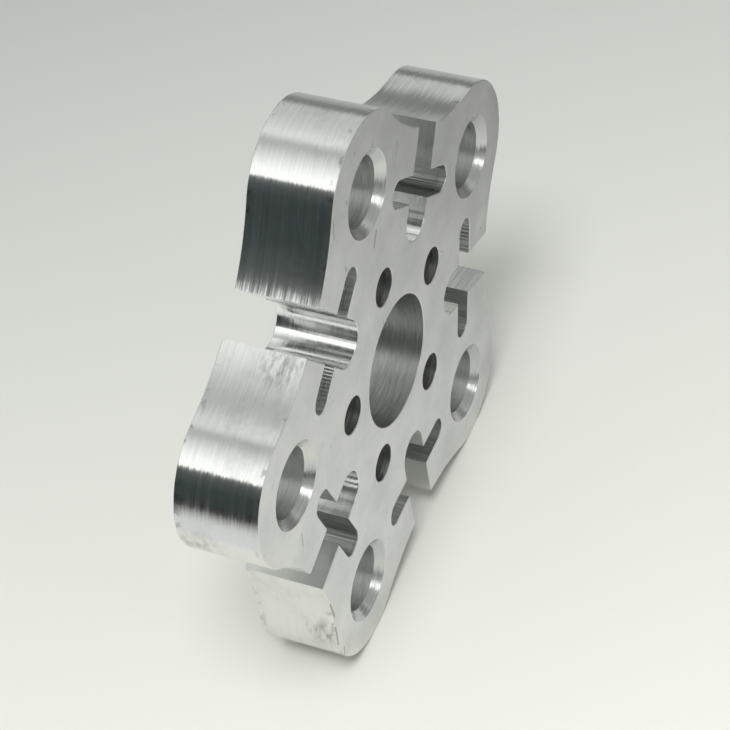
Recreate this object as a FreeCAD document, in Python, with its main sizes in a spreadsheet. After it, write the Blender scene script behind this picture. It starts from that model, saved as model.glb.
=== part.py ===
import FreeCAD, Part
import math
import os
import Sketcher

# A flat hub plate, milled from one piece of aluminium.
# Five rounded lobes stand on a pitch circle, with a shallow scallop between each pair.
# A straight slot runs in from the middle of each scallop and a narrow slot crosses it.
# The bore runs along Y through the origin, at mid thickness.  The countersunk front
# faces -Y, and the plate stands on two of its lobes with a third pointing up, along +Z.

NODE = "hub_plate"

# Driving dimensions in millimetres, and the number of lobes.
SIZES = [
    ("lobe_count", 5),
    ("thickness", 11.0),
    ("pitch_radius", 30.0),
    ("nose_radius", 10.2),
    ("scallop_radius", 30.0),
    ("bore_diameter", 17.5),
    ("inner_pitch_radius", 13.75),
    ("inner_hole_diameter", 5.0),
    ("lobe_hole_diameter", 9.0),
    ("countersink_diameter", 11.2),
    ("slot_width", 6.0),
    ("slot_floor_radius", 15.7),
    ("cross_slot_width", 3.6),
    ("cross_slot_length", 18.0),
    ("cross_slot_radius", 22.7),
    ("edge_break", 0.25),
]

SKETCH_NORMAL = FreeCAD.Vector(0, 0, 1)
COUNTERSINK_ANGLE = 90.0
TOLERANCE = 1e-6

# Sketcher numbers a curve's start, end and centre as 1, 2 and 3, and a sketch's own axes as
# -1 and -2.  Its origin is the start of the horizontal axis.
START, END, CENTRE = range(1, 4)
HORIZONTAL_AXIS, VERTICAL_AXIS = range(-1, -3, -1)
ORIGIN = (HORIZONTAL_AXIS, START)


def make_sheet(doc):
    """Put each driving dimension in a cell of its own, with its name as the alias."""
    sheet = doc.addObject("Spreadsheet::Sheet", "sizes")
    for row, (name, value) in enumerate(SIZES, start=1):
        sheet.set(f"A{row}", name)
        sheet.set(f"B{row}", str(value))
        sheet.setAlias(f"B{row}", name)
    doc.recompute()
    return sheet


def origin_feature(body, role):
    return next(feature for feature in body.Origin.OriginFeatures if feature.Role == role)


def new_sketch(body, name):
    """A sketch on the plate's middle plane: its x is X, its y is Z and its normal is -Y."""
    sketch = body.newObject("Sketcher::SketchObject", name)
    sketch.AttachmentSupport = [(origin_feature(body, "XZ_Plane"), "")]
    sketch.MapMode = "FlatFace"
    return sketch


def polar(radius, degrees):
    angle = math.radians(degrees)
    return FreeCAD.Vector(radius * math.cos(angle), radius * math.sin(angle), 0)


def add_line(sketch, start, end):
    return sketch.addGeometry(Part.LineSegment(start, end), False)


def add_arc(sketch, centre, radius, first_degrees, last_degrees):
    """An arc that runs anticlockwise from its first angle to its last."""
    circle = Part.Circle(centre, SKETCH_NORMAL, radius)
    arc = Part.ArcOfCircle(circle, math.radians(first_degrees), math.radians(last_degrees))
    return sketch.addGeometry(arc, False)


def add_circle(sketch, centre, radius):
    return sketch.addGeometry(Part.Circle(centre, SKETCH_NORMAL, radius), False)


def constrain(sketch, kind, *arguments):
    return sketch.addConstraint(Sketcher.Constraint(kind, *arguments))


def drive(sketch, name, expression, kind, *arguments):
    """Add a dimension, name it and bind it to the sheet."""
    index = constrain(sketch, kind, *arguments)
    sketch.renameConstraint(index, name)
    sketch.setExpression(f"Constraints.{name}", expression)


def sketch_sector(body, sheet):
    """One lobe with half a scallop on each side, closed by two straight lines to the origin."""
    sketch = new_sketch(body, "LobeSector")
    half_angle = 180.0 / sheet.lobe_count
    pitch = float(sheet.pitch_radius)
    nose = float(sheet.nose_radius)
    scallop = float(sheet.scallop_radius)

    # The scallop's centre lies on the sector's edge, where its arc just touches the nose.
    along = pitch * math.cos(math.radians(half_angle))
    across = pitch * math.sin(math.radians(half_angle))
    reach = along + math.sqrt((scallop + nose) ** 2 - across ** 2)
    right_centre = polar(reach, 90 - half_angle)
    left_centre = polar(reach, 90 + half_angle)
    touch = math.degrees(math.atan2(right_centre.y - pitch, right_centre.x))

    right_edge = add_line(sketch, polar(0, 0), polar(reach - scallop, 90 - half_angle))
    right_scallop = add_arc(sketch, right_centre, scallop, 180 + touch, 270 - half_angle)
    nose_arc = add_arc(sketch, polar(pitch, 90), nose, touch, 180 - touch)
    left_scallop = add_arc(sketch, left_centre, scallop, 270 + half_angle, 360 - touch)
    left_edge = add_line(sketch, polar(reach - scallop, 90 + half_angle), polar(0, 0))

    constrain(sketch, "Coincident", right_edge, START, *ORIGIN)
    constrain(sketch, "Coincident", left_edge, END, *ORIGIN)
    constrain(sketch, "Coincident", right_edge, END, right_scallop, END)
    constrain(sketch, "Tangent", right_scallop, START, nose_arc, START)
    constrain(sketch, "Tangent", nose_arc, END, left_scallop, END)
    constrain(sketch, "Coincident", left_scallop, START, left_edge, START)
    constrain(sketch, "Symmetric", right_edge, END, left_edge, START, VERTICAL_AXIS)
    constrain(sketch, "PointOnObject", nose_arc, CENTRE, VERTICAL_AXIS)
    constrain(sketch, "PointOnObject", right_scallop, CENTRE, right_edge)
    constrain(sketch, "Equal", right_scallop, left_scallop)
    drive(sketch, "sector_edge", "90 deg - 180 deg / sizes.lobe_count",
          "Angle", right_edge, math.radians(90 - half_angle))
    drive(sketch, "pitch", "sizes.pitch_radius", "DistanceY", *ORIGIN, nose_arc, CENTRE, pitch)
    drive(sketch, "nose", "sizes.nose_radius", "Radius", nose_arc, nose)
    drive(sketch, "scallop", "sizes.scallop_radius", "Radius", right_scallop, scallop)
    return sketch


def sketch_hole(body, name, pitch_name, pitch, diameter_name, diameter):
    """A circle straight above the origin, on the lobe's centre line."""
    sketch = new_sketch(body, name)
    circle = add_circle(sketch, polar(pitch, 90), diameter / 2)
    constrain(sketch, "PointOnObject", circle, CENTRE, VERTICAL_AXIS)
    drive(sketch, "pitch", f"sizes.{pitch_name}", "DistanceY", *ORIGIN, circle, CENTRE, pitch)
    drive(sketch, "diameter", f"sizes.{diameter_name}", "Diameter", circle, diameter)
    return sketch


def sketch_bore(body, sheet):
    sketch = new_sketch(body, "BoreCircle")
    circle = add_circle(sketch, polar(0, 0), sheet.bore_diameter / 2)
    constrain(sketch, "Coincident", circle, CENTRE, *ORIGIN)
    drive(sketch, "diameter", "sizes.bore_diameter", "Diameter", circle, float(sheet.bore_diameter))
    return sketch


def turn_to_scallop(sketch):
    """Turn a sketch about the bore by half the lobes' spacing, so that its y runs up a scallop."""
    sketch.setExpression("AttachmentOffset.Rotation.Angle", "180 deg / sizes.lobe_count")


def sketch_slot(body, sheet):
    """The radial slot: a round floor towards the bore, and straight sides out past the scallop."""
    sketch = new_sketch(body, "SlotProfile")
    turn_to_scallop(sketch)
    half = sheet.slot_width / 2
    centre_y = sheet.slot_floor_radius + half
    outer_y = float(sheet.pitch_radius + sheet.nose_radius)

    floor = add_arc(sketch, polar(centre_y, 90), half, 180, 360)
    right_side = add_line(sketch, FreeCAD.Vector(half, centre_y, 0), FreeCAD.Vector(half, outer_y, 0))
    mouth = add_line(sketch, FreeCAD.Vector(half, outer_y, 0), FreeCAD.Vector(-half, outer_y, 0))
    left_side = add_line(sketch, FreeCAD.Vector(-half, outer_y, 0), FreeCAD.Vector(-half, centre_y, 0))

    constrain(sketch, "Tangent", floor, END, right_side, START)
    constrain(sketch, "Coincident", right_side, END, mouth, START)
    constrain(sketch, "Coincident", mouth, END, left_side, START)
    constrain(sketch, "Tangent", left_side, END, floor, START)
    constrain(sketch, "Vertical", right_side)
    constrain(sketch, "Vertical", left_side)
    constrain(sketch, "Horizontal", mouth)
    constrain(sketch, "PointOnObject", floor, CENTRE, VERTICAL_AXIS)
    drive(sketch, "half_width", "sizes.slot_width / 2", "Radius", floor, half)
    drive(sketch, "floor_centre", "sizes.slot_floor_radius + sizes.slot_width / 2",
          "DistanceY", *ORIGIN, floor, CENTRE, centre_y)
    drive(sketch, "reach", "sizes.pitch_radius + sizes.nose_radius",
          "DistanceY", *ORIGIN, mouth, START, outer_y)
    return sketch


def sketch_cross_slot(body, sheet):
    """The narrow slot across the radial one, with full-round ends."""
    sketch = new_sketch(body, "CrossSlotProfile")
    turn_to_scallop(sketch)
    half_width = sheet.cross_slot_width / 2
    end_x = sheet.cross_slot_length / 2 - half_width
    centre_y = float(sheet.cross_slot_radius)
    inner_y = centre_y - half_width
    outer_y = centre_y + half_width

    right_end = add_arc(sketch, FreeCAD.Vector(end_x, centre_y, 0), half_width, 270, 450)
    left_end = add_arc(sketch, FreeCAD.Vector(-end_x, centre_y, 0), half_width, 90, 270)
    outer = add_line(sketch, FreeCAD.Vector(end_x, outer_y, 0), FreeCAD.Vector(-end_x, outer_y, 0))
    inner = add_line(sketch, FreeCAD.Vector(-end_x, inner_y, 0), FreeCAD.Vector(end_x, inner_y, 0))

    constrain(sketch, "Tangent", right_end, END, outer, START)
    constrain(sketch, "Tangent", outer, END, left_end, START)
    constrain(sketch, "Tangent", left_end, END, inner, START)
    constrain(sketch, "Tangent", inner, END, right_end, START)
    constrain(sketch, "Symmetric", right_end, CENTRE, left_end, CENTRE, VERTICAL_AXIS)
    drive(sketch, "half_width", "sizes.cross_slot_width / 2", "Radius", right_end, half_width)
    drive(sketch, "half_length", "(sizes.cross_slot_length - sizes.cross_slot_width) / 2",
          "DistanceX", *ORIGIN, right_end, CENTRE, end_x)
    drive(sketch, "centre_line", "sizes.cross_slot_radius",
          "DistanceY", *ORIGIN, right_end, CENTRE, centre_y)
    return sketch


def cut_through(body, name, sketch):
    """A pocket that runs out through both faces, because its sketch lies between them."""
    pocket = body.newObject("PartDesign::Pocket", name)
    pocket.Profile = sketch
    pocket.Type = "ThroughAll"
    pocket.SideType = "Symmetric"
    return pocket


def repeat_round_bore(doc, body, name, features):
    """Copy features round the bore, once for each lobe."""
    pattern = body.newObject("PartDesign::PolarPattern", name)
    pattern.Originals = features
    pattern.Axis = (origin_feature(body, "Y_Axis"), [""])
    pattern.Angle = 360
    pattern.setExpression("Occurrences", "sizes.lobe_count")
    body.Tip = pattern
    doc.recompute()
    return pattern


def make_blank(doc, body, sheet):
    """The plate's outline: one lobe's sector, padded both ways and repeated round the bore."""
    sector = body.newObject("PartDesign::Pad", "Sector")
    sector.Profile = sketch_sector(body, sheet)
    sector.SideType = "Symmetric"
    sector.setExpression("Length", "sizes.thickness")
    doc.recompute()
    return repeat_round_bore(doc, body, "Lobes", [sector])


def drill_lobe_hole(doc, body, sheet):
    """A through hole in the top lobe, countersunk in the front face."""
    sketch = sketch_hole(body, "LobeHoleCircle", "pitch_radius", float(sheet.pitch_radius),
                         "lobe_hole_diameter", float(sheet.lobe_hole_diameter))
    sketch.setExpression("AttachmentOffset.Base.z", "sizes.thickness / 2")
    doc.recompute()
    hole = body.newObject("PartDesign::Hole", "LobeHole")
    hole.Profile = sketch
    hole.ThreadType = "None"
    hole.DepthType = "ThroughAll"
    hole.HoleCutType = "Countersink"
    hole.HoleCutCustomValues = True
    hole.HoleCutCountersinkAngle = COUNTERSINK_ANGLE
    hole.setExpression("Diameter", "sizes.lobe_hole_diameter")
    hole.setExpression("HoleCutDiameter", "sizes.countersink_diameter")
    doc.recompute()
    return hole


def cut_openings(doc, body, sheet):
    """The bore, then one of each hole and slot, repeated round the bore."""
    cut_through(body, "Bore", sketch_bore(body, sheet))
    inner_sketch = sketch_hole(body, "InnerHoleCircle", "inner_pitch_radius",
                               float(sheet.inner_pitch_radius),
                               "inner_hole_diameter", float(sheet.inner_hole_diameter))
    inner_hole = cut_through(body, "InnerHole", inner_sketch)
    slot = cut_through(body, "Slot", sketch_slot(body, sheet))
    cross_slot = cut_through(body, "CrossSlot", sketch_cross_slot(body, sheet))
    doc.recompute()
    lobe_hole = drill_lobe_hole(doc, body, sheet)
    return repeat_round_bore(doc, body, "Openings", [inner_hole, slot, cross_slot, lobe_hole])


def lies_in_a_face(edge, sheet):
    """True for an edge that lies flat in the front face or in the back one."""
    box = edge.BoundBox
    flat = box.YLength < TOLERANCE
    at_face = abs(abs(box.YMin) - sheet.thickness / 2) < TOLERANCE
    return flat and at_face


def is_countersink_rim(edge, sheet):
    radius = getattr(edge.Curve, "Radius", None)
    return radius is not None and abs(radius - sheet.countersink_diameter / 2) < TOLERANCE


def break_edges(doc, body, base, sheet):
    """A small chamfer on every edge of both faces, apart from the countersinks' rims."""
    names = []
    for number, edge in enumerate(base.Shape.Edges, start=1):
        if lies_in_a_face(edge, sheet) and not is_countersink_rim(edge, sheet):
            names.append(f"Edge{number}")
    chamfer = body.newObject("PartDesign::Chamfer", "EdgeBreaks")
    chamfer.Base = (base, names)
    chamfer.setExpression("Size", "sizes.edge_break")
    body.Tip = chamfer
    doc.recompute()
    return chamfer


def make_plate(doc, sheet):
    body = doc.addObject("PartDesign::Body", NODE)
    body.Label = NODE
    body.Placement = FreeCAD.Placement()
    make_blank(doc, body, sheet)
    openings = cut_openings(doc, body, sheet)
    break_edges(doc, body, openings, sheet)
    return body


def check(doc, body):
    """Stop if a feature failed, or if the plate isn't one sound solid."""
    for item in doc.Objects:
        if "Invalid" in item.State or "Error" in item.State:
            raise RuntimeError(f"{item.Name} failed: {item.State}")
    shape = body.Shape
    if shape.isNull() or not shape.isValid():
        raise RuntimeError(f"{body.Label} has no valid shape")
    if len(shape.Solids) != 1:
        raise RuntimeError(f"{body.Label} has {len(shape.Solids)} solids")


def main():
    doc = FreeCAD.newDocument("hub")
    sheet = make_sheet(doc)
    plate = make_plate(doc, sheet)
    doc.recompute()
    check(doc, plate)
    os.makedirs("parts", exist_ok=True)
    plate.Shape.exportStep(f"parts/{plate.Label}.step")
    box = plate.Shape.BoundBox
    print(f"{plate.Label}: {box.XLength:.2f} x {box.YLength:.2f} x {box.ZLength:.2f} mm")
    print(f"volume {plate.Shape.Volume:.1f} mm3, {len(plate.Shape.Faces)} faces")


main()
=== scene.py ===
# %% [markdown]
# # A milled aluminium hub plate
# The object is one flat plate with five rounded lobes, cut from a single piece of aluminium.
# The frame brings in the CAD solid, which already stands at the origin: its bore runs along Y,
# its countersunk front faces -Y, and it rests on two lobes with another pointing straight up.
# Every length below is in metres.

import math

import bmesh
import bpy
from mathutils import Matrix, Vector


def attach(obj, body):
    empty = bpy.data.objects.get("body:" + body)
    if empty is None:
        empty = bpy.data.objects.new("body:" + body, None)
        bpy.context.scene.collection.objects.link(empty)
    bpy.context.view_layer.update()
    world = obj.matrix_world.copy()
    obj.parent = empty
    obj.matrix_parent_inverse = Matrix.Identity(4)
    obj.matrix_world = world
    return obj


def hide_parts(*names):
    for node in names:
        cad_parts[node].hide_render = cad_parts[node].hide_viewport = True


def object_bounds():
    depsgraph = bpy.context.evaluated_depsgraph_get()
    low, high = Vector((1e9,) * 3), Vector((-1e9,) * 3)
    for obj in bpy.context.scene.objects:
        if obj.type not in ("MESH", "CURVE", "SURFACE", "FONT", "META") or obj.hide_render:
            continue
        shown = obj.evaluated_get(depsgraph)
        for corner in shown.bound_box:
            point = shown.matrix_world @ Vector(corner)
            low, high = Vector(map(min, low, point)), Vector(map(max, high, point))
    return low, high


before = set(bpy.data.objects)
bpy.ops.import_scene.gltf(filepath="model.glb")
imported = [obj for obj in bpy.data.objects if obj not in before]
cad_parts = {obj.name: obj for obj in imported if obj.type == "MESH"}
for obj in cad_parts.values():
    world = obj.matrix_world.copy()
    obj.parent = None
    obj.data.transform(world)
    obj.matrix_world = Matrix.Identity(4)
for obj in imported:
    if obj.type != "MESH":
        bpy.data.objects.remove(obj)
CAD_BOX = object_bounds()
print("CAD box, mm:", [[round(1000 * value, 2) for value in corner] for corner in CAD_BOX])

# %% [markdown]
# ## Camera
# The plate is seen from its front left and from well above, so that the thick edge and the
# countersunk face both show.  A camera is easiest to place from the point it looks at: step
# back along the line of sight, then roll it a little about that line.  The lens is long, so
# that the near lobes don't look swollen beside the far ones.

# %% Camera
AIM = Vector((0.00110, 0.0, -0.00384))
DISTANCE, LENS = 0.30599, 116.566
HEADING, LOOKING_DOWN, ROLL = math.radians(58.914), math.radians(48.317), math.radians(-10.998)

line_of_sight = Vector((
    math.sin(HEADING) * math.cos(LOOKING_DOWN),
    math.cos(HEADING) * math.cos(LOOKING_DOWN),
    -math.sin(LOOKING_DOWN),
))
camera = bpy.data.objects.new("camera", bpy.data.cameras.new("camera"))
bpy.context.scene.collection.objects.link(camera)
camera.data.lens = LENS
camera.data.clip_start, camera.data.clip_end = 0.01, 20
upright = line_of_sight.to_track_quat("-Z", "Y").to_matrix()
camera.matrix_world = Matrix.Translation(AIM - DISTANCE * line_of_sight) @ (
    upright @ Matrix.Rotation(ROLL, 3, "Z")).to_4x4()
bpy.context.scene.camera = camera
print("camera at, mm:", [round(1000 * value, 1) for value in camera.matrix_world.translation])

# %% [markdown]
# ## Helpers for materials
# Every material below is a tree of nodes, and a tree is easier to read when each node takes
# one line.  The helpers make a node, fill its inputs with numbers or with the output of another
# node, and hand back the output that carries the result, so a chain of them reads as a formula.
# All patterns start from Object coordinates, in metres: they have their real size, and they stay
# on the piece from whichever side it is seen.  The floor is the first to use them.

# %% Nodes in one line
def new_material(name):
    """A material with its node tree and its Principled shader."""
    material = bpy.data.materials.new(name)
    material.use_nodes = True
    return material, material.node_tree, material.node_tree.nodes["Principled BSDF"]


def add_node(tree, kind, **settings):
    """A node of that kind.  An input is given a value or an output, and a property a value."""
    node = tree.nodes.new(kind)
    for name, value in settings.items():
        if name not in node.inputs:
            setattr(node, name, value)
        elif isinstance(value, bpy.types.NodeSocket):
            tree.links.new(value, node.inputs[name])
        else:
            node.inputs[name].default_value = value
    return node


def object_place(tree):
    """Where a point lies on its object."""
    return add_node(tree, "ShaderNodeTexCoord").outputs["Object"]


def between(tree, value, low, high, to_low=0.0, to_high=1.0):
    """Map a value from one range to another, and hold it at the ends."""
    ends = {"From Min": low, "From Max": high, "To Min": to_low, "To Max": to_high}
    return add_node(tree, "ShaderNodeMapRange", Value=value, **ends).outputs["Result"]


# %% Sums on values and on vectors
def fill(tree, socket, value):
    """Link an output to a socket, or set the socket to a number or to three of them."""
    if isinstance(value, bpy.types.NodeSocket):
        tree.links.new(value, socket)
    else:
        socket.default_value = value


def math_node(tree, operation, first, second=0.0):
    """A Math node on two values, each an output or a number."""
    node = add_node(tree, "ShaderNodeMath", operation=operation)
    fill(tree, node.inputs[0], first)
    fill(tree, node.inputs[1], second)
    return node.outputs["Value"]


def vector_node(tree, operation, first, second=None, scale=None):
    """A Vector Math node on two vectors, each an output or three numbers."""
    node = add_node(tree, "ShaderNodeVectorMath", operation=operation)
    for socket, value in ((0, first), (1, second), ("Scale", scale)):
        if value is not None:
            fill(tree, node.inputs[socket], value)
    one_number = operation in ("LENGTH", "DOT_PRODUCT", "DISTANCE")
    return node.outputs["Value" if one_number else "Vector"]


# %% [markdown]
# ## The floor
# The plate stands on a plain pale board, a little darker at the back than near the viewer, as
# paper is that lies near a window.  A light that falls off would do it too, but it would also
# change the metal, so here that shade is painted into the board's own colour as a gradient: the
# distance towards the viewer, mapped to a mix of a shaded grey and a lit grey.

# %% Floor
def stage_plane(name, centre, along, across, width, height, material):
    """A flat rectangle that belongs to the studio, spanned by two directions."""
    sheet = bmesh.new()
    bmesh.ops.create_grid(sheet, x_segments=1, y_segments=1, size=0.5)  # a one metre square
    along, across = Vector(along).normalized(), Vector(across).normalized()
    turn = Matrix((along * width, across * height, along.cross(across))).transposed().to_4x4()
    bmesh.ops.transform(sheet, matrix=Matrix.Translation(centre) @ turn, verts=sheet.verts)
    mesh = bpy.data.meshes.new(name)
    sheet.to_mesh(mesh)
    sheet.free()
    mesh.materials.append(material)
    plane = bpy.data.objects.new(name, mesh)
    bpy.context.scene.collection.objects.link(plane)
    return plane


FLOOR_Z, FLOOR_SIZE = CAD_BOX[0].z, 8
TOWARDS_VIEWER = (-0.81, -0.586, 0)
FAR_EDGE, NEAR_EDGE = -0.13, 0.06  # where the gradient starts and ends, that way
# painted shade: a darker grey at the back and a lighter one near the viewer
FAR_SHADED_GREY, NEAR_LIT_GREY = (0.508, 0.531, 0.503, 1), (0.907, 0.907, 0.847, 1)

floor_shaded_paint, tree, shader = new_material("floor_shaded_paint")
nearness = vector_node(tree, "DOT_PRODUCT", object_place(tree), TOWARDS_VIEWER)
painted_falloff = add_node(tree, "ShaderNodeMix", data_type="RGBA", A=FAR_SHADED_GREY, B=NEAR_LIT_GREY,
                Factor=between(tree, nearness, FAR_EDGE, NEAR_EDGE))
tree.links.new(painted_falloff.outputs["Result"], shader.inputs["Base Color"])
shader.inputs["Roughness"].default_value = 0.9
shader.inputs["Specular IOR Level"].default_value = 0.2
stage_plane("floor", (0, 0, FLOOR_Z), (1, 0, 0), (0, 1, 0), FLOOR_SIZE, FLOOR_SIZE, floor_shaded_paint)
print("floor at", round(1000 * FLOOR_Z, 2), "mm")

# %% [markdown]
# ## Lights
# Bare metal shows its surroundings more than its lamps, so the lamps are kept simple.  The key is
# a broad soft lamp nearly overhead and a little to the left.  It hangs almost in the plate's
# plane, so the plate casts only a narrow soft shadow, on its right.  The metal doesn't mirror it,
# because the tent below decides what shows there.  A weak window low in front of the countersunk
# face puts a glint on the edges that look that way, and an even room fills the rest.

# %% Lights
def soft_light(name, direction, distance, width, height, power):
    """An area light that looks at the plate from one direction."""
    light = bpy.data.lights.new(name, "AREA")
    light.shape, light.size, light.size_y, light.energy = "RECTANGLE", width, height, power
    lamp = bpy.data.objects.new(name, light)
    bpy.context.scene.collection.objects.link(lamp)
    direction = Vector(direction).normalized()
    lamp.location = direction * distance
    lamp.rotation_euler = direction.to_track_quat("Z", "Y").to_euler()
    return lamp


key = soft_light("key", (-0.34, -0.10, 0.93), distance=1.2, width=0.5, height=0.4, power=9.8)
key.visible_glossy = False
soft_light("window", (-0.12, -0.93, 0.33), distance=0.8, width=0.15, height=0.11, power=0.20)

world = bpy.data.worlds.new("room")
bpy.context.scene.world = world
world.use_nodes = True
room = world.node_tree.nodes["Background"]
room.inputs["Color"].default_value = (0.985, 1.0, 0.975, 1)
room.inputs["Strength"].default_value = 0.45
print("lights:", [light.name for light in bpy.data.lights], "in an even room")

# %% [markdown]
# ## A tent for the metal to mirror
# The bright and dark bands on the lobes' walls are reflections.  A product studio makes them
# with a tent of white cloth.  This one is half a cylinder over the plate, turned about a line
# along Y, and 2.5 m in radius: from so far away, every lobe sees a band in the same direction.
# A point is spun through half a turn, and the arc is pulled out along Y.  Only reflections see
# the tent, so it can't shade the floor.

# %% Light tent
def reflected_only(item):
    """Let only reflections see an object of the studio."""
    item.visible_camera = item.visible_diffuse = item.visible_shadow = False
    return item


TENT_RADIUS, TENT_LENGTH, TENT_MIDDLE, TENT_STRIPS = 2.5, 7.2, 1.0, 90

tent = bmesh.new()
first = tent.verts.new((TENT_RADIUS, TENT_MIDDLE - TENT_LENGTH / 2, FLOOR_Z))
bmesh.ops.spin(tent, geom=[first], cent=(0, first.co.y, FLOOR_Z), axis=(0, -1, 0),
               steps=TENT_STRIPS, angle=math.pi)
pulled = bmesh.ops.extrude_edge_only(tent, edges=tent.edges[:])["geom"]
bmesh.ops.translate(tent, verts=[item for item in pulled if isinstance(item, bmesh.types.BMVert)],
                    vec=(0, TENT_LENGTH, 0))
tent_mesh = bpy.data.meshes.new("light_tent")
tent.to_mesh(tent_mesh)
tent.free()
light_tent = bpy.data.objects.new("light_tent", tent_mesh)
bpy.context.scene.collection.objects.link(light_tent)
reflected_only(light_tent)
print("tent:", len(tent_mesh.polygons), "strips")

# %% [markdown]
# ## The tent's bands
# Each direction round the tent has its own brightness.  Going over from the right, it is dim
# beside the floor, grey up to overhead, then brighter and brighter, until the cloth ends at
# its brightest and the dark room beyond it shows.  That last sharp step is what makes metal look
# like metal.  A painted picture could hold the bands, but a colour ramp read by the angle is
# easier to adjust.  A ramp's values end at 1, so it holds shares of the brightest value, and the
# emission's strength multiplies them back.  A slow noise along the tent stands for its folds.

# %% Parts of a place, and colour ramps
def x_y_z(tree, vector):
    """The three parts of a vector."""
    parts = add_node(tree, "ShaderNodeSeparateXYZ", Vector=vector)
    return parts.outputs["X"], parts.outputs["Y"], parts.outputs["Z"]


def shades(tree, value, stops):
    """A colour ramp, read by a value, from (position, grey or colour) stops."""
    node = add_node(tree, "ShaderNodeValToRGB", Fac=value)
    ramp = node.color_ramp
    while len(ramp.elements) < len(stops):
        ramp.elements.new(0.5)
    for element, (position, shade) in zip(ramp.elements, stops):
        colour = shade if isinstance(shade, tuple) else (shade, shade, shade)
        element.position, element.color = position, (*colour, 1)
    return node.outputs["Color"]


# %% Bands
CLOTH_GREYS = [  # degrees from +X up towards +Z, and brightness
    (2, 0.22), (14, 0.24), (18, 0.68), (35, 0.62), (47, 0.68), (55, 0.73), (63, 0.80), (70, 0.90),
    (76, 0.92), (80, 0.78), (84, 0.57), (88, 0.52), (92, 0.57), (96, 0.66), (104, 0.86),
    (112, 1.04), (116, 1.14), (122, 1.26), (135.8, 1.50),
]
CLOTH_TINT = (1.0, 1.02, 0.98)
DARK_ROOM = [  # degrees, and colour
    (137.6, (0.150, 0.165, 0.165)), (145, (0.068, 0.082, 0.080)), (157, (0.036, 0.052, 0.049)),
    (178, (0.024, 0.036, 0.034)),
]
BRIGHTEST = 1.6
BANDS = [(degrees / 180, tuple(grey * part / BRIGHTEST for part in CLOTH_TINT))
         for degrees, grey in CLOTH_GREYS]
BANDS += [(degrees / 180, tuple(part / BRIGHTEST for part in colour))
          for degrees, colour in DARK_ROOM]
print("bands on the tent:", len(BANDS))

# %% Tent cloth
tent_cloth, tree, shader = new_material("tent_cloth")
tree.nodes.remove(shader)
x, y, z = x_y_z(tree, object_place(tree))
angle = math_node(tree, "ARCTAN2", math_node(tree, "MULTIPLY", x, -1), z)
bands = shades(tree, between(tree, angle, -math.pi / 2, math.pi / 2), BANDS)
folds = add_node(tree, "ShaderNodeTexNoise", noise_dimensions="1D", W=y, Scale=4, Detail=3)
fold_light = between(tree, folds.outputs["Fac"], 0.3, 0.7, -0.022, 0.045)
glow = add_node(tree, "ShaderNodeEmission", Strength=BRIGHTEST,
                Color=vector_node(tree, "ADD", bands, fold_light))
tree.links.new(glow.outputs["Emission"], tree.nodes["Material Output"].inputs["Surface"])
tent_mesh.materials.append(tent_cloth)
print("tent cloth:", len(tree.nodes), "nodes")

# %% [markdown]
# ## A dark card and two sheets of painted shade
# Without something dark to mirror, polished metal looks like white plastic, so a small dark card
# stands low in front of the plate.  The undersides of the lobes mirror the table.  Two sheets
# lie on it for them, painted with the table's shade: they fade away from the plate as a lit
# table fades into a dark room.  Each sheet's painted shade is a ramp along X.  Like the tent,
# they are there for reflections only.

# %% Dark card
CARD_WAY, CARD_DISTANCE = Vector((-0.43, -0.90, -0.01)).normalized(), 0.45
card_paint, _, shader = new_material("card_paint")
shader.inputs["Base Color"].default_value = (0.10, 0.105, 0.10, 1)
shader.inputs["Roughness"].default_value = 1
reflected_only(stage_plane("dark_card", CARD_WAY * CARD_DISTANCE, CARD_WAY.cross((0, 0, 1)),
                           (0, 0, 1), 0.20, 0.075, card_paint))
print("dark card:", CARD_DISTANCE, "m in front")

# %% Sheets of painted shade on the floor
SHEET_HEIGHT = 0.0005


def shaded_floor_sheet(name, near, far, low, high, stops):
    """A sheet from near to far along X and low to high along Y, with painted shade along X by its
    stops.
    """
    paint, tree, shader = new_material(name)
    x, _, _ = x_y_z(tree, object_place(tree))
    shade = shades(tree, between(tree, x, near, far),
                   [((place - near) / (far - near), grey) for place, grey in stops])
    tree.links.new(shade, shader.inputs["Base Color"])
    shader.inputs["Roughness"].default_value = 1
    shader.inputs["Specular IOR Level"].default_value = 0
    middle = ((near + far) / 2, (low + high) / 2, FLOOR_Z + SHEET_HEIGHT)
    return reflected_only(stage_plane(name, middle, (1, 0, 0), (0, 1, 0),
                                      abs(far - near), high - low, paint))


# painted shade of the table: each sheet is lighter near the plate and darker away from it
left_shade_sheet = shaded_floor_sheet("left_shade_sheet", -0.065, -TENT_RADIUS, -2.6, 4.6, [  # x and grey of each stop
    (-0.065, 0.78), (-0.119, 0.74), (-0.135, 0.66), (-0.154, 0.54), (-0.188, 0.37),
    (-0.238, 0.22), (-0.33, 0.03)])
right_shade_sheet = shaded_floor_sheet("right_shade_sheet", -0.022, TENT_RADIUS, -2.6, -0.006, [
    (-0.022, 0.74), (0.010, 0.72), (0.025, 0.65), (0.049, 0.52), (0.062, 0.42), (0.12, 0.30)])
print("on the floor:", left_shade_sheet.name, "and", right_shade_sheet.name)

# %% [markdown]
# ## The plate's outline
# One lobe, with half a scallop and half a slot on each side, repeats five times round the bore.
# The cutter's path is straight runs and arcs only, so half a lobe can be drawn like a pen
# stroke: extrude a point for a straight run, and spin it for an arc.  A mirror and four turned
# copies give the whole closed outline.  The radii are the CAD model's.

# %% Sizes
LOBES = 5
HALF_PITCH = math.pi / LOBES
THICKNESS = 0.011
# The circle through the lobes' holes, the lobes' round noses, and the scallops between them.
PITCH_RADIUS, NOSE_RADIUS, SCALLOP_RADIUS = 0.030, 0.0102, 0.030
# The bore, the circle through the five small holes, and those holes.
BORE_RADIUS, INNER_PITCH, INNER_RADIUS = 0.00875, 0.01375, 0.0025
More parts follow.
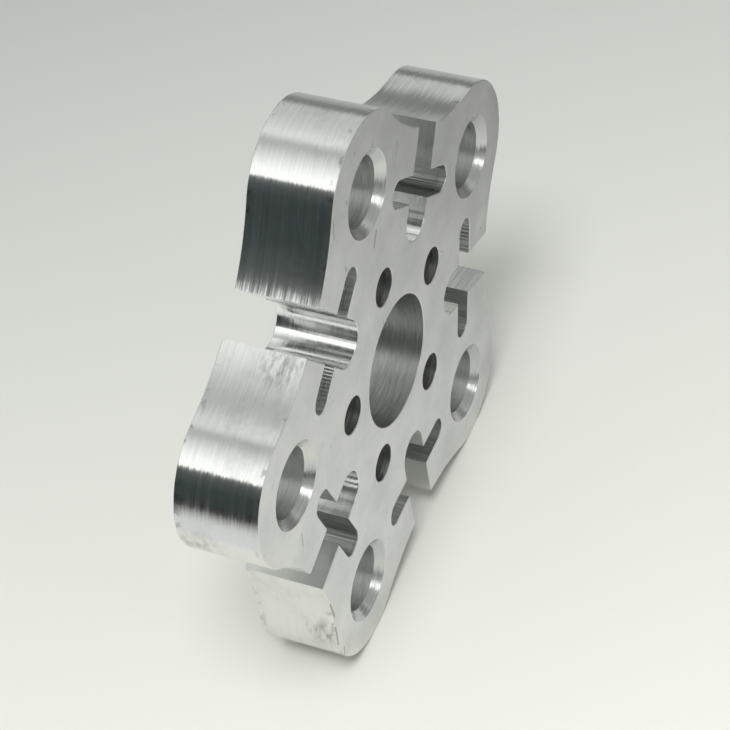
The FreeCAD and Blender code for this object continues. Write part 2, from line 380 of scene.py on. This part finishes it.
# A lobe's hole, and its countersink's rim.
HOLE_RADIUS, SINK_RADIUS = 0.0045, 0.0056
# A slot's half width, and how near its round floor comes to the bore's axis.
SLOT_HALF, SLOT_FLOOR = 0.003, 0.0157
# How far out a cross slot lies, and half its width and length.
CROSS_RADIUS, CROSS_HALF_WIDTH, CROSS_HALF_LENGTH = 0.0227, 0.0018, 0.009
FRONT = -THICKNESS / 2
Y_AXIS = Vector((0, 1, 0))
print("plate:", LOBES, "lobes,", 1000 * THICKNESS, "mm thick")

# %% The pen
def run_to(bm, point, target):
    """A straight run from a point of the outline to a target."""
    new = bmesh.ops.extrude_vert_indiv(bm, verts=[point])["verts"][0]
    new.co = target
    return new


def arc_about(bm, point, centre, angle, step=math.radians(3)):
    """An arc that carries a point round a centre, in short even steps."""
    steps = max(2, math.ceil(abs(angle) / step))
    made = bmesh.ops.spin(bm, geom=[point], cent=centre, axis=Y_AXIS, angle=angle, steps=steps)
    return next(item for item in made["geom_last"] if isinstance(item, bmesh.types.BMVert))


def angle_between(centre, start, end):
    """The signed turn about Y that takes start to end round a centre."""
    first, last = start - centre, end - centre
    return math.atan2(Y_AXIS.dot(first.cross(last)), first.dot(last))


def in_gap(across, out):
    """A point on the front face: across the slot's centre line, and out along it from the bore."""
    return Matrix.Rotation(HALF_PITCH, 3, "Y") @ Vector((-across, FRONT, out))


# %% Half a slot, from its floor outwards
lobe_centre = Vector((0, FRONT, PITCH_RADIUS))
scallop_out = PITCH_RADIUS * math.cos(HALF_PITCH) + math.sqrt(
    (SCALLOP_RADIUS + NOSE_RADIUS) ** 2 - (PITCH_RADIUS * math.sin(HALF_PITCH)) ** 2)
scallop_centre = in_gap(0, scallop_out)
mouth = in_gap(SLOT_HALF, scallop_out - math.sqrt(SCALLOP_RADIUS ** 2 - SLOT_HALF ** 2))
floor_end = in_gap(SLOT_HALF, SLOT_FLOOR + SLOT_HALF)
floor_centre = in_gap(0, SLOT_FLOOR + SLOT_HALF)
cross_end = CROSS_HALF_LENGTH - CROSS_HALF_WIDTH
cross_centre = in_gap(cross_end, CROSS_RADIUS)

bm = bmesh.new()
pen = bm.verts.new(in_gap(0, SLOT_FLOOR))
pen = arc_about(bm, pen, floor_centre, angle_between(floor_centre, pen.co, floor_end),
                step=math.radians(6))
pen = run_to(bm, pen, in_gap(SLOT_HALF, CROSS_RADIUS - CROSS_HALF_WIDTH))
pen = run_to(bm, pen, in_gap(cross_end, CROSS_RADIUS - CROSS_HALF_WIDTH))
quarter = angle_between(cross_centre, pen.co, in_gap(CROSS_HALF_LENGTH, CROSS_RADIUS))
pen = arc_about(bm, pen, cross_centre, 2 * quarter, step=math.radians(10))
pen = run_to(bm, pen, in_gap(SLOT_HALF, CROSS_RADIUS + CROSS_HALF_WIDTH))
pen = run_to(bm, pen, mouth)
print("half a slot:", len(bm.edges), "edges")

# %% Half a scallop and half a nose
touch = lobe_centre + (scallop_centre - lobe_centre).normalized() * NOSE_RADIUS
top = Vector((0, FRONT, PITCH_RADIUS + NOSE_RADIUS))
pen = arc_about(bm, pen, scallop_centre, angle_between(scallop_centre, mouth, touch),
                step=math.radians(2))
pen = arc_about(bm, pen, lobe_centre, angle_between(lobe_centre, touch, top))
print("half a lobe:", len(bm.edges), "edges, ends", round(1000 * (pen.co - top).length, 6),
      "mm from the top")

# %% The whole outline
SAME_PLACE = 1e-6
bmesh.ops.mirror(bm, geom=bm.verts[:] + bm.edges[:], matrix=Matrix.Identity(4),
                 merge_dist=SAME_PLACE, axis="X")
bmesh.ops.spin(bm, geom=bm.verts[:] + bm.edges[:], cent=(0, 0, 0), axis=Y_AXIS,
               angle=2 * math.pi * (LOBES - 1) / LOBES, steps=LOBES - 1, use_duplicate=True)
bmesh.ops.remove_doubles(bm, verts=bm.verts, dist=SAME_PLACE)
print("outline:", len(bm.edges), "edges, closed:", all(len(v.link_edges) == 2 for v in bm.verts))

# %% [markdown]
# ## Holes and thickness
# A bore, five small holes round it and one hole in each lobe go right through the plate.  They
# could be cut out of a solid with booleans, but those leave ragged faces.  Here each circle is
# drawn inside the outline first, a fill covers the face between them, and one extrusion gives
# the plate and all its walls their thickness.

# %% Holes and the front face
def hole_circle(bm, radius, out, turn, segments):
    """A circle on the front face, out along +Z from the bore and then turned about it."""
    place = (Matrix.Rotation(turn, 4, "Y") @ Matrix.Translation((0, FRONT, out))
             @ Matrix.Rotation(math.pi / 2, 4, "X"))
    bmesh.ops.create_circle(bm, radius=radius, segments=segments, matrix=place)


LOBE_TURNS = [2 * HALF_PITCH * number for number in range(LOBES)]
BORE_SIDES, INNER_SIDES, SINK_SIDES = 120, 48, 72
hole_circle(bm, BORE_RADIUS, 0, 0, BORE_SIDES)
for turn in LOBE_TURNS:
    hole_circle(bm, INNER_RADIUS, INNER_PITCH, turn, INNER_SIDES)
    hole_circle(bm, SINK_RADIUS, PITCH_RADIUS, turn, SINK_SIDES)
filled = bmesh.ops.triangle_fill(bm, edges=bm.edges, use_beauty=True)["geom"]
front_faces = [item for item in filled if isinstance(item, bmesh.types.BMFace)]
area = sum(face.calc_area() for face in front_faces)
print("front face:", len(front_faces), "triangles,", round(area * 1e6, 1), "mm2")

# %% Thickness
back = bmesh.ops.extrude_face_region(bm, geom=front_faces, use_keep_orig=True)["geom"]
back_verts = [item for item in back if isinstance(item, bmesh.types.BMVert)]
bmesh.ops.translate(bm, verts=back_verts, vec=(0, THICKNESS, 0))
bmesh.ops.recalc_face_normals(bm, faces=bm.faces)
print("plate: closed", all(edge.is_manifold for edge in bm.edges), "volume",
      round(bm.calc_volume() * 1e9, 1), "mm3")

# %% [markdown]
# ## Countersinks
# The lobe holes are widened to a 45 degree cone at the front, where a screw's head would sit.
# Their walls were drawn at the cone's rim.  A cut all round at the cone's depth adds a ring of
# points, and pulling in every ring behind the front leaves the cone and the straight hole.

# %% Countersinks
def beside_hole(vert, turn):
    """True for a vertex of the lobe hole at that turn, whatever its depth."""
    centre = Matrix.Rotation(turn, 3, "Y") @ Vector((0, 0, PITCH_RADIUS))
    return math.hypot(vert.co.x - centre.x, vert.co.z - centre.z) < SINK_RADIUS + 1e-5


SINK_DEPTH = SINK_RADIUS - HOLE_RADIUS
SHRINK = HOLE_RADIUS / SINK_RADIUS
for turn in LOBE_TURNS:
    rings = [v for v in bm.verts if beside_hole(v, turn)]
    in_rings = set(rings).issuperset
    wall = [e for e in bm.edges if in_rings(e.verts)] + [f for f in bm.faces if in_rings(f.verts)]
    bmesh.ops.bisect_plane(bm, geom=rings + wall, plane_co=(0, FRONT + SINK_DEPTH, 0),
                           plane_no=Y_AXIS)
    deep = [v for v in bm.verts if beside_hole(v, turn) and v.co.y > FRONT + SINK_DEPTH / 2]
    centre = Matrix.Rotation(turn, 4, "Y") @ Matrix.Translation((0, 0, PITCH_RADIUS))
    bmesh.ops.scale(bm, verts=deep, vec=(SHRINK, 1, SHRINK),
                    space=Matrix.Translation(-centre.translation))
print("after the countersinks: closed", all(edge.is_manifold for edge in bm.edges), "volume",
      round(bm.calc_volume() * 1e9, 1), "mm3")

# %% [markdown]
# ## Broken edges
# A deburring tool leaves a soft narrow break on every edge of both faces, which catches the
# light as a thin line.  A bevel with three segments rounds them.  The countersinks' rims keep
# their crisp edge, and so do the upright corners that the cutter leaves at the slots.

# %% Broken edges
EDGE_BREAK = 0.00016
CRISP = math.radians(32)  # an edge that turns by more than this is shaded sharp


def lies_in_face(edge, y):
    """True for an edge between the flat face at that depth and a wall."""
    return all(abs(v.co.y - y) < 1e-7 for v in edge.verts) and not all(
        abs(f.normal.y) > 0.9 for f in edge.link_faces)


def is_rim(edge):
    """True for an edge of a lobe hole."""
    return any(all(beside_hole(v, turn) for v in edge.verts) for turn in LOBE_TURNS)


broken = [e for e in bm.edges
          if lies_in_face(e, -FRONT) or (lies_in_face(e, FRONT) and not is_rim(e))]
bmesh.ops.bevel(bm, geom=broken, offset=EDGE_BREAK, offset_type="OFFSET", affect="EDGES",
                segments=3, profile=0.5, material=-1, clamp_overlap=True)
bmesh.ops.recalc_face_normals(bm, faces=bm.faces)
for face in bm.faces:
    face.smooth = True
for edge in bm.edges:
    edge.smooth = len(edge.link_faces) == 2 and edge.calc_face_angle() < CRISP
print("broken edges:", len(broken), "faces now:", len(bm.faces))

# %% [markdown]
# ## The plate as an object
# The finished mesh stands for the CAD's hub_plate, which is hidden, and rides on the one body,
# root.  Weighted normals let the large flat faces decide the shading at their edges, so that
# they look flat right up to the rounded break.

# %% The plate as an object
plate_mesh = bpy.data.meshes.new("milled_plate")
bm.to_mesh(plate_mesh)
bm.free()
plate = bpy.data.objects.new("milled_plate", plate_mesh)
bpy.context.scene.collection.objects.link(plate)
even_shading = plate.modifiers.new("even_shading", "WEIGHTED_NORMAL")
even_shading.keep_sharp = True
even_shading.weight = 100
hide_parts("hub_plate")
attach(plate, "root")
print("plate:", len(plate_mesh.polygons), "faces")

# %% [markdown]
# ## Milled aluminium
# The metal is the same all over, but each tool leaves its own marks, so each kind of cut gets
# its own finish.  All of them are bare metal: a metallic Principled shader, with highlights that
# stretch across the tool marks.  The marks are noise with its own frequency along X, Y and Z, so
# one noise can be fine across the marks and slow along them.

# %% Bare metal and its noise
def noise_at(tree, scale, detail=2.0, roughness=0.5):
    """Noise on Object coordinates, with its own frequency along each axis, in cycles a metre."""
    stretch = add_node(tree, "ShaderNodeMapping", Vector=object_place(tree), Scale=scale)
    return add_node(tree, "ShaderNodeTexNoise", Vector=stretch.outputs["Vector"], Scale=1.0,
                    Detail=detail, Roughness=roughness)


def patches(tree, scale, low, high, **texture):
    """0 where that noise is under low, and 1 in the patches where it is over high."""
    return between(tree, noise_at(tree, scale, **texture).outputs["Fac"], low, high)


def bare_metal(name, anisotropy):
    """A bare metal whose highlights stretch across marks that run round the bore's axis."""
    material, tree, shader = new_material(name)
    shader.inputs["Metallic"].default_value = 1
    if anisotropy:
        tangent = add_node(tree, "ShaderNodeTangent", direction_type="RADIAL", axis="Y")
        tree.links.new(tangent.outputs["Tangent"], shader.inputs["Tangent"])
        shader.inputs["Anisotropic"].default_value = anisotropy
        shader.inputs["Anisotropic Rotation"].default_value = 0.25  # a quarter turn
    return material, tree, shader


# %% [markdown]
# ## Tool marks on the walls
# A side mill leaves fine lines at constant depth along the outline.  Each line mirrors the room
# at a slightly different tilt, which is what makes the edges of its reflections ragged.  A bump
# map can't do that well here, because its slopes lie almost wholly across the lines.  So the
# normal itself is tilted: a little along the outline and more across the lines, by noise that
# changes fast with depth and slowly along the outline.

# %% Tilted normals
def leaned(tree, normal, direction, amount):
    """A normal that leans in a direction by an amount."""
    return vector_node(tree, "ADD", normal, vector_node(tree, "SCALE", direction, scale=amount))


def tilt_along_marks(tree, noise, along, across):
    """The surface normal, tilted along the outline and across the plate by a coloured noise."""
    normal = add_node(tree, "ShaderNodeNewGeometry").outputs["Normal"]
    outline = vector_node(tree, "CROSS_PRODUCT", normal, (0, 1, 0))
    parts = add_node(tree, "ShaderNodeSeparateColor", Color=noise.outputs["Color"]).outputs
    lean = math_node(tree, "MULTIPLY", math_node(tree, "SUBTRACT", parts["Red"], 0.5), along)
    rock = math_node(tree, "MULTIPLY", math_node(tree, "SUBTRACT", parts["Green"], 0.5), across)
    tilted = leaned(tree, leaned(tree, normal, outline, lean), (0, 1, 0), rock)
    return vector_node(tree, "NORMALIZE", tilted)


def milled(name, marks, along, across, smooth, rough, dark, light, anisotropy):
    """A wall finish: how fine its marks are, how far they tilt, how rough and how dark it is."""
    material, tree, shader = bare_metal(name, anisotropy)
    noise = noise_at(tree, marks, detail=3.0, roughness=0.6)
    lines = noise_at(tree, (25, 2800, 25)).outputs["Fac"]
    shade = shades(tree, noise.outputs["Fac"], [(0.25, dark), (0.75, light)])
    tree.links.new(tilt_along_marks(tree, noise, along, across), shader.inputs["Normal"])
    tree.links.new(between(tree, lines, 0.35, 0.65, smooth, rough), shader.inputs["Roughness"])
    tree.links.new(shade, shader.inputs["Base Color"])
    print("finish:", name, "with marks of", max(marks), "cycles a metre, tilted", along, across)
    return material


# %% [markdown]
# ## Walls of the lobes and slots
# The outside walls and the slots' walls come from side mills: bright, with long sharp
# highlights.  The smaller cutter that went down the slots left them a little finer.

# %% Side-milled walls
side_milled = milled("side_milled", marks=(160, 5200, 160), along=0.08, across=0.50,
                     smooth=0.16, rough=0.26, dark=(0.72, 0.73, 0.72),
                     light=(0.78, 0.785, 0.775), anisotropy=1.0)
slot_side = milled("slot_side", marks=(200, 6000, 200), along=0.06, across=0.40,
                   smooth=0.16, rough=0.26, dark=(0.82, 0.83, 0.82),
                   light=(0.88, 0.885, 0.875), anisotropy=0.8)

# %% [markdown]
# ## Walls of the holes
# The bore was cut with a boring bar, the lobe holes reamed and the small holes made with a plain
# drill, so they go from satin to rough.  The bore and the small holes also get darker metal,
# which is painted shade inside those deep holes.  A cone-shaped cutter left the countersinks
# smooth.  In a hole the marks are rings, at constant depth again, so the walls' recipe serves
# here too, with more tilt and a rougher surface.

# %% Walls of the holes, with painted shade in the bore and the small holes
# dark and light are darker than on the other walls: painted shade inside the bore
bored_painted_shade = milled("bored_painted_shade", marks=(300, 4500, 300), along=0.30, across=0.8,
               smooth=0.36, rough=0.46, dark=(0.37, 0.38, 0.37),
               light=(0.52, 0.525, 0.515), anisotropy=0.7)
reamed = milled("reamed", marks=(300, 4500, 300), along=0.30, across=0.8,
                smooth=0.36, rough=0.46, dark=(0.58, 0.59, 0.575),
                light=(0.76, 0.765, 0.75), anisotropy=0.7)
# dark and light are the darkest metal here: painted shade inside the small holes
drilled_painted_shade = milled("drilled_painted_shade", marks=(400, 3500, 400), along=0.5, across=1.0,
                 smooth=0.42, rough=0.55, dark=(0.26, 0.265, 0.26),
                 light=(0.44, 0.445, 0.44), anisotropy=0.4)
countersunk = milled("countersunk", marks=(300, 5000, 300), along=0.14, across=0.3,
                     smooth=0.19, rough=0.27, dark=(0.57, 0.58, 0.565),
                     light=(0.67, 0.675, 0.66), anisotropy=0.5)

# %% [markdown]
# ## Chatter in the cross slots
# A thin cutter chatters, and leaves the narrow cross slots a ladder of ripples whose rungs run
# from face to face, so their noise is fine along the wall and slow with depth.  A sine of the
# turn about the bore and of the distance from it crosses every wall of those slots, so one
# formula serves all of them, where a ripple along X or Z would vanish on the walls that face it.

# %% Chatter in the cross slots
slot_milled = milled("slot_milled", marks=(3800, 120, 3800), along=0.7, across=0.2,
                     smooth=0.26, rough=0.38, dark=(0.40, 0.41, 0.40),
                     light=(0.86, 0.865, 0.855), anisotropy=0.5)
RIPPLES_ROUND, RIPPLES_OUT = 380, 14000  # radians of ripple to a radian round, and to a metre out
RIPPLE_TILT = 0.24

tree = slot_milled.node_tree
shader = tree.nodes["Principled BSDF"]
place = object_place(tree)
x, _, z = x_y_z(tree, place)
about = math_node(tree, "ARCTAN2", x, z)
from_bore = vector_node(tree, "LENGTH", vector_node(tree, "MULTIPLY", place, (1, 0, 1)))
phase = math_node(tree, "ADD", math_node(tree, "MULTIPLY", about, RIPPLES_ROUND),
                  math_node(tree, "MULTIPLY", from_bore, RIPPLES_OUT))
ripple = math_node(tree, "MULTIPLY", math_node(tree, "SINE", phase), RIPPLE_TILT)
milled_normal = shader.inputs["Normal"].links[0].from_socket
outline = vector_node(tree, "CROSS_PRODUCT", milled_normal, (0, 1, 0))
rippled = vector_node(tree, "NORMALIZE", leaned(tree, milled_normal, outline, ripple))
tree.links.new(rippled, shader.inputs["Normal"])
print("ripples:", round(2000 * math.pi / RIPPLES_OUT, 2), "mm apart")

# %% [markdown]
# ## Nicks, dirt and smudges
# A handled plate has small nicks along its rims, a thin film of dirt and a few finger smudges.
# Nicks are the peaks of a coarse noise, kept to a narrow strip beside the two faces.  Dirt is a
# slow noise that darkens the metal a little.  A smudge is a ball of darker metal round one
# point, broken up by a mottle.  Each is a mask from 0 to 1, laid over the finish's colour.

# %% Nicks and dirt on the outside walls
DIRT = (0.20, 0.20, 0.185, 1)
NICKS_BEGIN, NICKS_FULL = 0.0044, 0.0053  # distance from mid thickness


def soiled(tree, shader, mask, amount):
    """Darken a finish's colour by up to an amount where the mask is 1."""
    clean = shader.inputs["Base Color"].links[0].from_socket
    dirt = add_node(tree, "ShaderNodeMix", data_type="RGBA", A=clean, B=DIRT,
                    Factor=math_node(tree, "MULTIPLY", mask, amount))
    tree.links.new(dirt.outputs["Result"], shader.inputs["Base Color"])


tree = side_milled.node_tree
shader = tree.nodes["Principled BSDF"]
place = object_place(tree)
_, y, _ = x_y_z(tree, place)
beside_face = between(tree, math_node(tree, "ABSOLUTE", y), NICKS_BEGIN, NICKS_FULL)
peaks = patches(tree, (750, 750, 750), 0.57, 0.66, detail=3.0)
film = patches(tree, (110, 110, 110), 0.50, 0.72, detail=5.0, roughness=0.7)
soiled(tree, shader, math_node(tree, "MULTIPLY", beside_face, peaks), 0.6)
soiled(tree, shader, film, 0.28)
print("nicks within", round(1000 * (-FRONT - NICKS_BEGIN), 1), "mm of the faces, and dirt")

# %% Smudges on the left lobes
SMUDGES = [  # place and reach of each
    ((-0.0383, 0.0030, 0.0062), 0.0042),
    ((-0.0220, -0.0025, 0.0220), 0.0034),
    ((-0.0275, -0.0038, -0.0228), 0.0034),
]

mottle = patches(tree, (500, 1200, 500), 0.44, 0.60, detail=4.0, roughness=0.7)
for middle, reach in SMUDGES:
    away = vector_node(tree, "DISTANCE", place, middle)
    ball = between(tree, away, 0.001, reach, 1, 0)
    soiled(tree, shader, math_node(tree, "MULTIPLY", ball, mottle), 0.6)
print("smudges:", len(SMUDGES))

# %% [markdown]
# ## The two faces
# The faces were cleaned up with a wide facing cutter and then handled.  They are satin: faint
# arcs from the cutter, a cloudy change of sheen, and a few scratches and dents.  The arcs are
# rings round a point outside the plate, so a noise of the distance from it draws them.  Each mark
# is the distance to a short line, so a list of places and lengths draws them all.

# %% Facing arcs and clouds
CUTTER_CENTRE = (0.075, 0.0, -0.030)

faced, tree, shader = bare_metal("faced", anisotropy=0)
clouds = noise_at(tree, (140, 140, 140), detail=4.0, roughness=0.6).outputs["Fac"]
from_cutter = vector_node(tree, "DISTANCE", object_place(tree), CUTTER_CENTRE)
arcs = add_node(tree, "ShaderNodeTexNoise", noise_dimensions="1D", W=from_cutter,
                Scale=2600.0, Detail=3.0, Roughness=0.7)
grain = noise_at(tree, (2500, 2500, 2500))
tree.links.new(between(tree, clouds, 0.3, 0.7, 0.34, 0.46), shader.inputs["Roughness"])
print("facing arcs round, mm:", [1000 * value for value in CUTTER_CENTRE])

# %% Scratches and dents
MARKS = [  # middle x and z, length, turn in degrees and width, the same on both faces
    (-0.0051, 0.0336, 0.0003, 70, 0.00020), (-0.0001, 0.0225, 0.0021, 53, 0.00024),
    (-0.0081, 0.0254, 0.0005, 81, 0.00022), (-0.0018, 0.0093, 0.0008, 85, 0.00008),
    (0.0031, 0.0352, 0.0013, 46, 0.00012), (0.0089, 0.0292, 0.0016, 61, 0.00010),
    (-0.0013, 0.0378, 0.0003, 71, 0.00012), (-0.0300, 0.0004, 0.0020, 79, 0.00014),
    (-0.0225, -0.0270, 0.0018, 20, 0.00005), (0.0160, 0.0040, 0.0030, 130, 0.00004),
    (0.0290, 0.0160, 0.0016, 15, 0.00006), (-0.0120, 0.0030, 0.0022, 100, 0.00004),
    (0.0200, -0.0215, 0.0014, 150, 0.00007), (-0.0330, 0.0150, 0.0010, 35, 0.00006),
    (-0.0273, -0.0180, 0.0030, 96, 0.00022), (-0.0276, -0.0232, 0.0036, 86, 0.00022),
    (-0.0268, -0.0278, 0.0016, 70, 0.00016), (-0.0091, 0.0330, 0.0024, 75, 0.00012),
]


def short_mark(tree, x, z, length, turn, width):
    """1 on a short line on the faces and 0 away from it."""
    lay = add_node(tree, "ShaderNodeMapping", vector_type="TEXTURE", Vector=object_place(tree),
                   Location=(x, 0, z), Rotation=(0, -math.radians(turn), 0))
    beyond = vector_node(tree, "SUBTRACT", vector_node(tree, "ABSOLUTE", lay.outputs["Vector"]),
                         (length / 2, 1, 0))
    away = vector_node(tree, "LENGTH", vector_node(tree, "MAXIMUM", beyond, (0, 0, 0)))
    return between(tree, away, 0, width, 1, 0)


marks = 0.0
for mark in MARKS:
    marks = math_node(tree, "MAXIMUM", short_mark(tree, *mark), marks)
print("marks on the faces:", len(MARKS))

# %% Relief of the faces
relief = math_node(tree, "ADD", math_node(tree, "MULTIPLY", arcs.outputs["Fac"], 0.35),
                   math_node(tree, "MULTIPLY", grain.outputs["Fac"], 0.5))
relief = math_node(tree, "SUBTRACT", relief, math_node(tree, "MULTIPLY", marks, 6.0))
bump = add_node(tree, "ShaderNodeBump", Strength=0.8, Distance=0.00001, Height=relief)
tree.links.new(bump.outputs["Normal"], shader.inputs["Normal"])
print("relief: arcs, grain and marks")

# %% Colour of the faces
DULL, BRIGHT, SCRATCHED = (0.655, 0.665, 0.635), (0.835, 0.84, 0.805), (0.22, 0.22, 0.21, 1)
worn = add_node(tree, "ShaderNodeMix", data_type="RGBA", B=SCRATCHED,
                A=shades(tree, clouds, [(0.3, DULL), (0.7, BRIGHT)]),
                Factor=math_node(tree, "MULTIPLY", marks, 0.9))
tree.links.new(worn.outputs["Result"], shader.inputs["Base Color"])
soiled(tree, shader, patches(tree, (1300, 1300, 1300), 0.70, 0.78), 0.45)
print("faces: clouds from", DULL, "to", BRIGHT)

# %% [markdown]
# ## Which finish goes where
# One object can carry many materials, and each face of the mesh names one of them by number.
# Picking faces by hand would be slow and easy to get wrong.  Every wall of this plate is known
# by where it lies, so a few distances from the bore, the holes and the slots sort them all.

# %% Which finish goes where
MARGIN, FINE_MARGIN = 0.0003, 0.0001
SLOT_MOUTH = scallop_out - SCALLOP_RADIUS


def finish_of_hole(centre):
    """The finish of a wall inside a hole, or None outside every hole."""
    if math.hypot(centre.x, centre.z) < BORE_RADIUS + MARGIN:
        return bored_painted_shade
    for turn in LOBE_TURNS:
        upright = Matrix.Rotation(-turn, 3, "Y") @ centre
        if math.hypot(upright.x, upright.z - INNER_PITCH) < INNER_RADIUS + MARGIN:
            return drilled_painted_shade
        if math.hypot(upright.x, upright.z - PITCH_RADIUS) < SINK_RADIUS + MARGIN:
            return countersunk if centre.y < FRONT + SINK_DEPTH else reamed
    return None


def finish_of_slot(centre):
    """The finish of a wall inside a slot, or None outside every slot."""
    gap = round((math.atan2(centre.x, centre.z) - HALF_PITCH) / (2 * HALF_PITCH))
    local = Matrix.Rotation(-(2 * gap + 1) * HALF_PITCH, 3, "Y") @ centre
    across, from_cross = abs(local.x), abs(local.z - CROSS_RADIUS)
    if from_cross < CROSS_HALF_WIDTH + FINE_MARGIN and across > SLOT_HALF + FINE_MARGIN:
        return slot_milled
    if across < SLOT_HALF + 2 * FINE_MARGIN and local.z < SLOT_MOUTH + MARGIN:
        return slot_side
    return None


# %% Give every face its finish
def finish_of(polygon):
    """The finish of a face of the plate, from where it lies."""
    centre = polygon.center
    if abs(polygon.normal.y) > 0.3 and abs(centre.y) > -FRONT - 0.9 * EDGE_BREAK:
        return faced
    return finish_of_hole(centre) or finish_of_slot(centre) or side_milled


FINISHES = [faced, side_milled, slot_side, slot_milled, bored_painted_shade, reamed, drilled_painted_shade, countersunk]
for finish in FINISHES:
    plate_mesh.materials.append(finish)
for polygon in plate_mesh.polygons:
    polygon.material_index = FINISHES.index(finish_of(polygon))
for index, finish in enumerate(FINISHES):
    count = sum(polygon.material_index == index for polygon in plate_mesh.polygons)
    print("faces with the finish", finish.name + ":", count)

# %% [markdown]
# ## The colour view
# The visual model has to stay inside the CAD's box.  The Standard view shows colours
# as they were written.

# %% The colour view
bpy.context.scene.view_settings.view_transform = "Standard"
